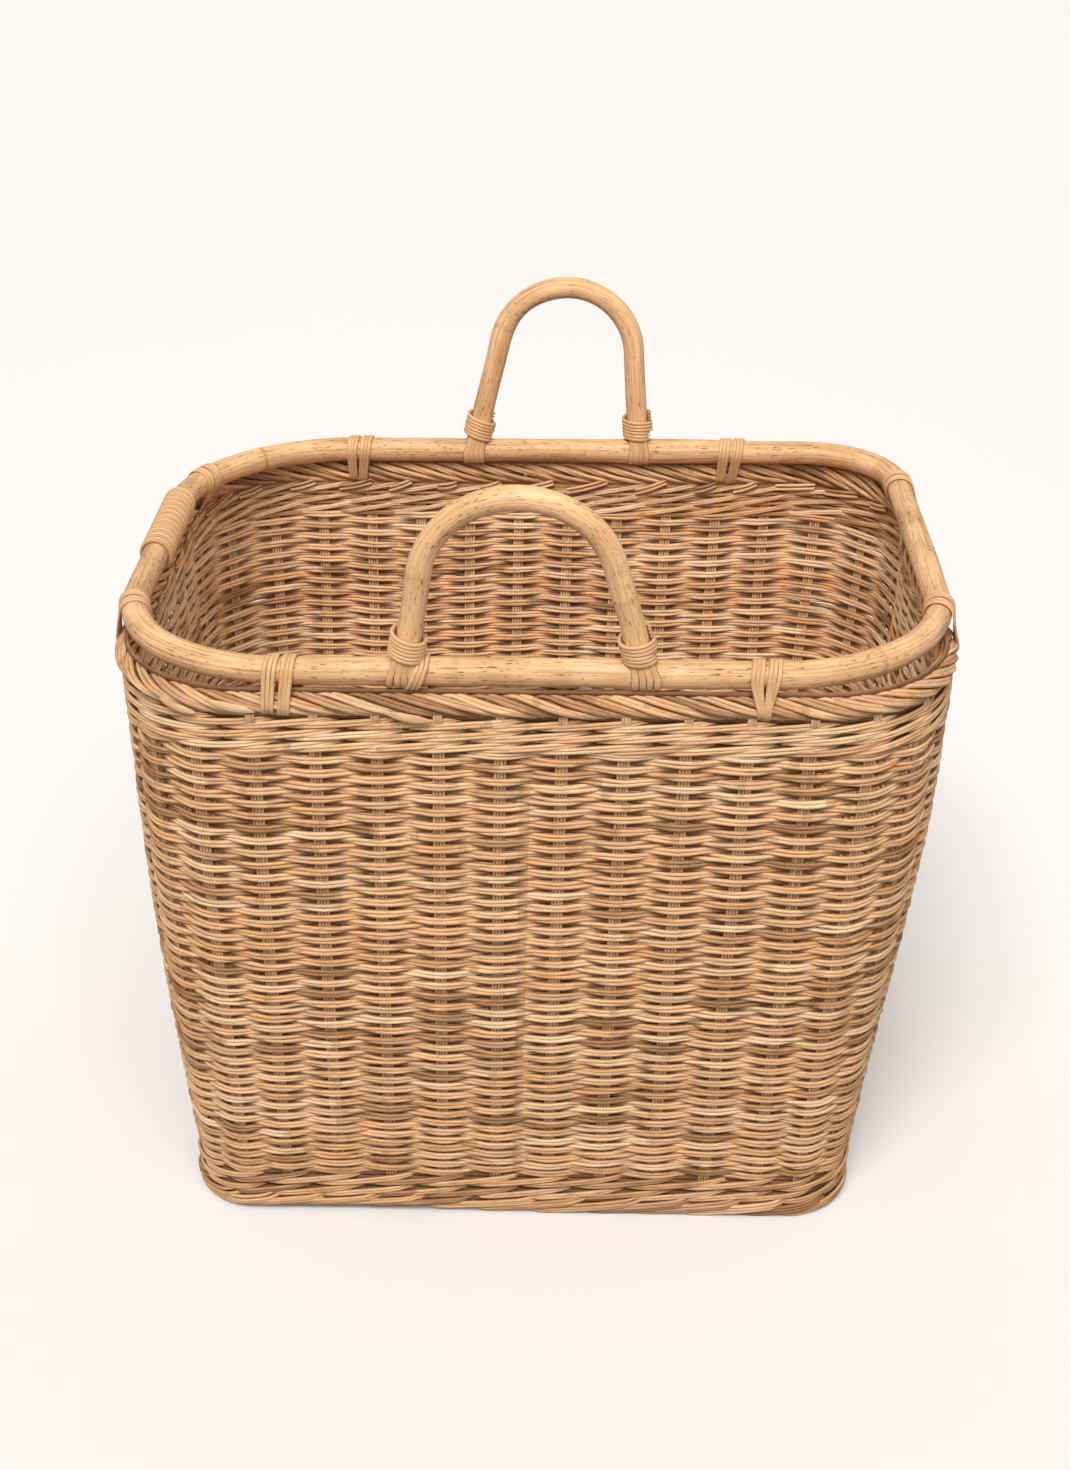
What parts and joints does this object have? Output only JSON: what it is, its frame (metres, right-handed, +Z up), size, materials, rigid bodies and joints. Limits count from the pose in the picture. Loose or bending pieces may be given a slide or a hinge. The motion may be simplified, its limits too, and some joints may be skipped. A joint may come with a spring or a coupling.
{
  "type": "storage basket",
  "caption": "Flared rectangular basket woven in split cane over cane stakes, with a plaited border, a lashed pole rim and upright arched pole handles",
  "frame": {"origin": "on the floor, under the middle of the rim in plan", "axes": "+X along the front, to the right as seen from the front; +Y to the back; +Z up"},
  "size_m": [0.5138, 0.3883, 0.5403],
  "materials": {
    "rattan_pole": "peeled rattan pole, satin, with long grain, dark flecks and faint node rings",
    "binding_cane": "split cane with its smooth skin outside, light satin",
    "woven_cane": "thin round cane, matt, each strand its own tone",
    "stake_cane": "thin round cane in flat groups of four, matt",
    "nail_steel": "plain wire nail, dull"
  },
  "bodies": {
    "root": {"rim_hoop": "rattan_pole", "handle_front": "rattan_pole", "handle_back": "rattan_pole", "foot_border": "woven_cane", "foot_wale": "woven_cane", "wall_weave": "woven_cane", "top_wale": "woven_cane", "border_plait": "woven_cane", "base_mat": "woven_cane", "depth_stake_left_01": "stake_cane", "depth_stake_right_01": "stake_cane", "depth_stake_left_02": "stake_cane", "depth_stake_right_02": "stake_cane", "depth_stake_left_03": "stake_cane", "depth_stake_right_03": "stake_cane", "depth_stake_left_04": "stake_cane", "depth_stake_right_04": "stake_cane", "depth_stake_left_05": "stake_cane", "depth_stake_right_05": "stake_cane", "depth_stake_left_06": "stake_cane", "depth_stake_right_06": "stake_cane", "width_stake_front_08": "stake_cane", "width_stake_back_08": "stake_cane", "width_stake_front_09": "stake_cane", "width_stake_back_09": "stake_cane", "width_stake_front_10": "stake_cane", "width_stake_back_10": "stake_cane", "width_stake_front_11": "stake_cane", "width_stake_back_11": "stake_cane", "corner_post_front_left": "stake_cane", "corner_post_front_right": "stake_cane", "corner_post_back_left": "stake_cane", "corner_post_back_right": "stake_cane", "tie_front_left": "binding_cane", "tie_front_right": "binding_cane", "tie_right_front": "binding_cane", "tie_right_back": "binding_cane", "tie_back_right": "binding_cane", "tie_back_left": "binding_cane", "tie_left_back": "binding_cane", "tie_left_front": "binding_cane", "joint_binding": "binding_cane", "collar_front_left": "binding_cane", "collar_front_right": "binding_cane", "collar_back_left": "binding_cane", "collar_back_right": "binding_cane", "stirrup_front_left": "binding_cane", "stirrup_front_right": "binding_cane", "stirrup_back_left": "binding_cane", "stirrup_back_right": "binding_cane", "nail_front_left": "nail_steel", "nail_front_right": "nail_steel", "nail_back_left": "nail_steel", "nail_back_right": "nail_steel", "joint_pin_1": "nail_steel", "joint_pin_2": "nail_steel"}
  },
  "joints": []
}
